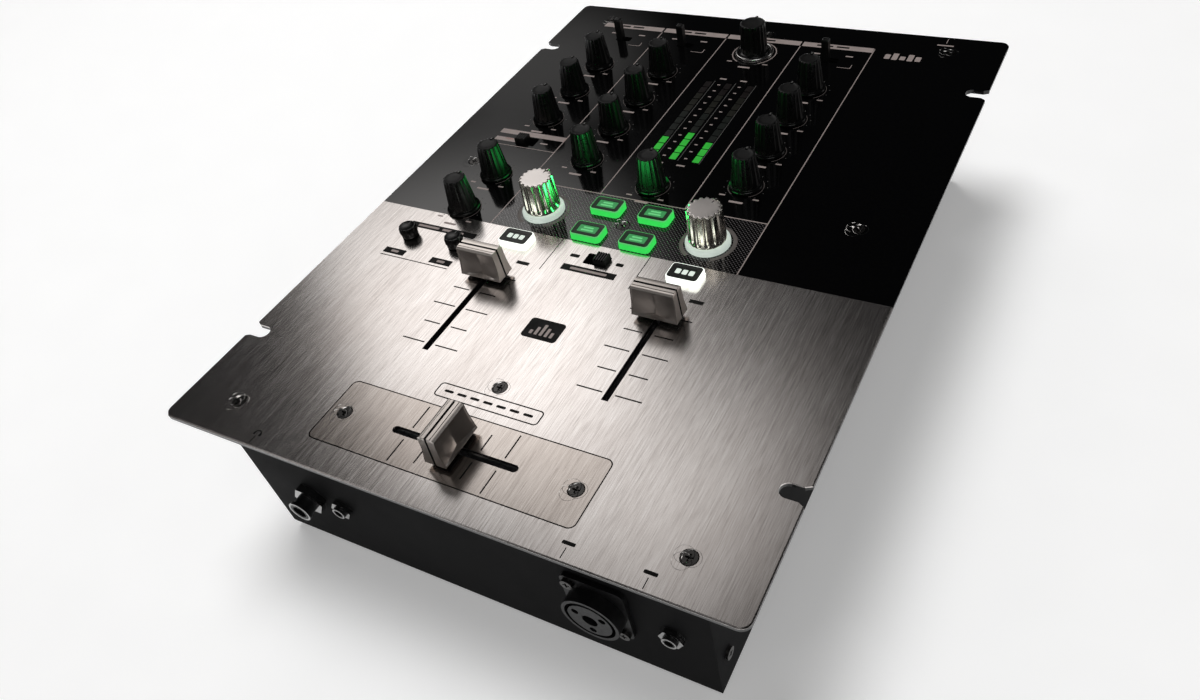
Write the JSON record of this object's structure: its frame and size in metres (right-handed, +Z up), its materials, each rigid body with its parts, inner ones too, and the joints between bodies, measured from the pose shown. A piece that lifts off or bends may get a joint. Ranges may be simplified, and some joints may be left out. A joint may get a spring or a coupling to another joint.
{
  "type": "dj mixer",
  "caption": "Desktop audio mixer: flat overhanging control plate on a shallow case, with rotary knobs, channel faders, a crossfader, lit push buttons, level meters and front sockets.",
  "frame": {"origin": "centre of the footprint, on the surface that the feet stand on", "axes": "+Z up through the control plate, +Y from the player's edge to the rear connectors, +X to the player's right"},
  "size_m": [0.254, 0.3556, 0.1006],
  "materials": {
    "control_plate": "brushed aluminium at the front, satin black paint at the rear",
    "case_paint": "fine matt black powder coat",
    "screw_black": "black oxide",
    "foot_rubber": "matt",
    "circuit_board": "solder mask over fibreglass",
    "post_brass": "bare",
    "part_metal": "tinned",
    "socket_plastic": "moulded",
    "meter_window": "smoked, lit in green segments at the low end",
    "light_ring": "milky",
    "jack_body": "moulded, with plated nuts",
    "jack_metal": "plated",
    "knob_black": "soft touch, fluted",
    "knob_silver": "metallised, fluted",
    "knob_small": "fluted",
    "button_white": "translucent, lit white",
    "button_green": "translucent, lit green",
    "lever_black": "moulded",
    "fader_cap": "metallised, satin, with a black index line"
  },
  "bodies": {
    "chassis": {"top_plate": "control_plate", "crossfader_plate": "control_plate", "case_tray": "case_paint", "front_panel": "case_paint", "rear_panel": "case_paint", "panel_screws": "screw_black", "case_screws": "screw_black", "feet": "foot_rubber", "control_board": "circuit_board", "connector_board": "circuit_board", "board_posts": "post_brass", "potentiometers": "part_metal", "channel_fader_bodies": "part_metal", "crossfader_body": "part_metal", "switch_bodies": "part_metal", "button_switches": "socket_plastic", "level_meters": "meter_window", "effect_knob_collars": "light_ring", "headphone_jack": "jack_body", "mini_jacks": "jack_body", "mic_socket": "socket_plastic", "rca_sockets": "jack_body", "line_output_jacks": "jack_body", "power_inlet": "socket_plastic", "power_switch_body": "socket_plastic", "ground_post": "jack_metal"},
    "mic_level_knob": {"mic_level_knob": "knob_black"},
    "mic_high_knob": {"mic_high_knob": "knob_black"},
    "mic_low_knob": {"mic_low_knob": "knob_black"},
    "cue_mix_knob": {"cue_mix_knob": "knob_black"},
    "phones_level_knob": {"phones_level_knob": "knob_black"},
    "ch1_gain_knob": {"ch1_gain_knob": "knob_black"},
    "ch1_high_knob": {"ch1_high_knob": "knob_black"},
    "ch1_mid_knob": {"ch1_mid_knob": "knob_black"},
    "ch1_low_knob": {"ch1_low_knob": "knob_black"},
    "ch2_gain_knob": {"ch2_gain_knob": "knob_black"},
    "ch2_high_knob": {"ch2_high_knob": "knob_black"},
    "ch2_mid_knob": {"ch2_mid_knob": "knob_black"},
    "ch2_low_knob": {"ch2_low_knob": "knob_black"},
    "booth_level_knob": {"booth_level_knob": "knob_black"},
    "master_level_knob": {"master_level_knob": "knob_black"},
    "ch1_effect_knob": {"ch1_effect_knob": "knob_silver"},
    "ch2_effect_knob": {"ch2_effect_knob": "knob_silver"},
    "curve_knob_left": {"curve_knob_left": "knob_small"},
    "curve_knob_right": {"curve_knob_right": "knob_small"},
    "ch1_cue_button": {"ch1_cue_button": "button_white"},
    "ch2_cue_button": {"ch2_cue_button": "button_white"},
    "effect_button_1": {"effect_button_1": "button_green"},
    "effect_button_2": {"effect_button_2": "button_green"},
    "effect_button_3": {"effect_button_3": "button_green"},
    "effect_button_4": {"effect_button_4": "button_green"},
    "mic_input_lever": {"mic_input_lever": "lever_black"},
    "ch1_input_lever": {"ch1_input_lever": "lever_black"},
    "ch2_input_lever": {"ch2_input_lever": "lever_black"},
    "cue_split_slider": {"cue_split_slider": "lever_black"},
    "reverse_slider": {"reverse_slider": "lever_black"},
    "ch1_fader_cap": {"ch1_fader_cap": "fader_cap"},
    "ch2_fader_cap": {"ch2_fader_cap": "fader_cap"},
    "crossfader_cap": {"crossfader_cap": "fader_cap"},
    "power_rocker": {"power_rocker": "lever_black"}
  },
  "joints": [
    {"name": "ch1_fader_slide", "type": "slide", "parent": "chassis", "child": "ch1_fader_cap", "axis": [0, 1, 0], "range_m": [-0.0443, 0]},
    {"name": "ch2_fader_slide", "type": "slide", "parent": "chassis", "child": "ch2_fader_cap", "axis": [0, 1, 0], "range_m": [-0.0443, 0]},
    {"name": "crossfader_slide", "type": "slide", "parent": "chassis", "child": "crossfader_cap", "axis": [1, 0, 0], "range_m": [-0.0225, 0.0225]},
    {"name": "power_rocker_tip", "type": "hinge", "parent": "chassis", "child": "power_rocker", "pos_m": [0.092, 0.165, 0.041], "axis": [1, 0, 0], "range_deg": [0, 14]},
    {"name": "mic_input_lever_slide", "type": "slide", "parent": "chassis", "child": "mic_input_lever", "axis": [1, 0, 0], "range_m": [0, 0.004]},
    {"name": "ch1_input_lever_slide", "type": "slide", "parent": "chassis", "child": "ch1_input_lever", "axis": [1, 0, 0], "range_m": [0, 0.004]},
    {"name": "ch2_input_lever_slide", "type": "slide", "parent": "chassis", "child": "ch2_input_lever", "axis": [1, 0, 0], "range_m": [0, 0.004]},
    {"name": "cue_split_slider_slide", "type": "slide", "parent": "chassis", "child": "cue_split_slider", "axis": [1, 0, 0], "range_m": [0, 0.005]},
    {"name": "reverse_slider_slide", "type": "slide", "parent": "chassis", "child": "reverse_slider", "axis": [1, 0, 0], "range_m": [-0.005, 0]},
    {"name": "ch1_cue_button_press", "type": "slide", "parent": "chassis", "child": "ch1_cue_button", "axis": [0, 0, -1], "range_m": [0, 0.001], "stiffness_N_per_m": 400},
    {"name": "ch2_cue_button_press", "type": "slide", "parent": "chassis", "child": "ch2_cue_button", "axis": [0, 0, -1], "range_m": [0, 0.001], "stiffness_N_per_m": 400},
    {"name": "effect_button_1_press", "type": "slide", "parent": "chassis", "child": "effect_button_1", "axis": [0, 0, -1], "range_m": [0, 0.001], "stiffness_N_per_m": 400},
    {"name": "effect_button_2_press", "type": "slide", "parent": "chassis", "child": "effect_button_2", "axis": [0, 0, -1], "range_m": [0, 0.001], "stiffness_N_per_m": 400},
    {"name": "effect_button_3_press", "type": "slide", "parent": "chassis", "child": "effect_button_3", "axis": [0, 0, -1], "range_m": [0, 0.001], "stiffness_N_per_m": 400},
    {"name": "effect_button_4_press", "type": "slide", "parent": "chassis", "child": "effect_button_4", "axis": [0, 0, -1], "range_m": [0, 0.001], "stiffness_N_per_m": 400},
    {"name": "ch1_effect_turn", "type": "hinge", "parent": "chassis", "child": "ch1_effect_knob", "pos_m": [-0.042, -0.0155, 0.082], "axis": [0, 0, -1], "range_deg": [-150, 150]},
    {"name": "ch2_effect_turn", "type": "hinge", "parent": "chassis", "child": "ch2_effect_knob", "pos_m": [0.042, -0.0155, 0.082], "axis": [0, 0, -1], "range_deg": [-150, 150]},
    {"name": "curve_left_turn", "type": "hinge", "parent": "chassis", "child": "curve_knob_left", "pos_m": [-0.0954, -0.0502, 0.082], "axis": [0, 0, -1], "range_deg": [-140, 140]},
    {"name": "curve_right_turn", "type": "hinge", "parent": "chassis", "child": "curve_knob_right", "pos_m": [-0.069, -0.0502, 0.082], "axis": [0, 0, -1], "range_deg": [-140, 140]},
    {"name": "mic_level_turn", "type": "hinge", "parent": "chassis", "child": "mic_level_knob", "pos_m": [-0.0818, 0.1123, 0.082], "axis": [0, 0, -1], "range_deg": [-150, 150]},
    {"name": "mic_high_turn", "type": "hinge", "parent": "chassis", "child": "mic_high_knob", "pos_m": [-0.0818, 0.0838, 0.082], "axis": [0, 0, -1], "range_deg": [-150, 150]},
    {"name": "mic_low_turn", "type": "hinge", "parent": "chassis", "child": "mic_low_knob", "pos_m": [-0.0818, 0.0552, 0.082], "axis": [0, 0, -1], "range_deg": [-150, 150]},
    {"name": "cue_mix_turn", "type": "hinge", "parent": "chassis", "child": "cue_mix_knob", "pos_m": [-0.0818, 0.0038, 0.082], "axis": [0, 0, -1], "range_deg": [-150, 150]},
    {"name": "phones_level_turn", "type": "hinge", "parent": "chassis", "child": "phones_level_knob", "pos_m": [-0.0818, -0.0247, 0.082], "axis": [0, 0, -1], "range_deg": [-150, 150]},
    {"name": "ch1_gain_turn", "type": "hinge", "parent": "chassis", "child": "ch1_gain_knob", "pos_m": [-0.0422, 0.1123, 0.082], "axis": [0, 0, -1], "range_deg": [-150, 150]},
    {"name": "ch1_high_turn", "type": "hinge", "parent": "chassis", "child": "ch1_high_knob", "pos_m": [-0.0422, 0.0838, 0.082], "axis": [0, 0, -1], "range_deg": [-150, 150]},
    {"name": "ch1_mid_turn", "type": "hinge", "parent": "chassis", "child": "ch1_mid_knob", "pos_m": [-0.0422, 0.0552, 0.082], "axis": [0, 0, -1], "range_deg": [-150, 150]},
    {"name": "ch1_low_turn", "type": "hinge", "parent": "chassis", "child": "ch1_low_knob", "pos_m": [-0.0422, 0.0267, 0.082], "axis": [0, 0, -1], "range_deg": [-150, 150]},
    {"name": "ch2_gain_turn", "type": "hinge", "parent": "chassis", "child": "ch2_gain_knob", "pos_m": [0.0423, 0.1123, 0.082], "axis": [0, 0, -1], "range_deg": [-150, 150]},
    {"name": "ch2_high_turn", "type": "hinge", "parent": "chassis", "child": "ch2_high_knob", "pos_m": [0.0423, 0.0838, 0.082], "axis": [0, 0, -1], "range_deg": [-150, 150]},
    {"name": "ch2_mid_turn", "type": "hinge", "parent": "chassis", "child": "ch2_mid_knob", "pos_m": [0.0423, 0.0552, 0.082], "axis": [0, 0, -1], "range_deg": [-150, 150]},
    {"name": "ch2_low_turn", "type": "hinge", "parent": "chassis", "child": "ch2_low_knob", "pos_m": [0.0423, 0.0267, 0.082], "axis": [0, 0, -1], "range_deg": [-150, 150]},
    {"name": "booth_level_turn", "type": "hinge", "parent": "chassis", "child": "booth_level_knob", "pos_m": [0, 0.0152, 0.082], "axis": [0, 0, -1], "range_deg": [-150, 150]},
    {"name": "master_level_turn", "type": "hinge", "parent": "chassis", "child": "master_level_knob", "pos_m": [0, 0.1419, 0.082], "axis": [0, 0, -1], "range_deg": [-150, 150]}
  ]
}
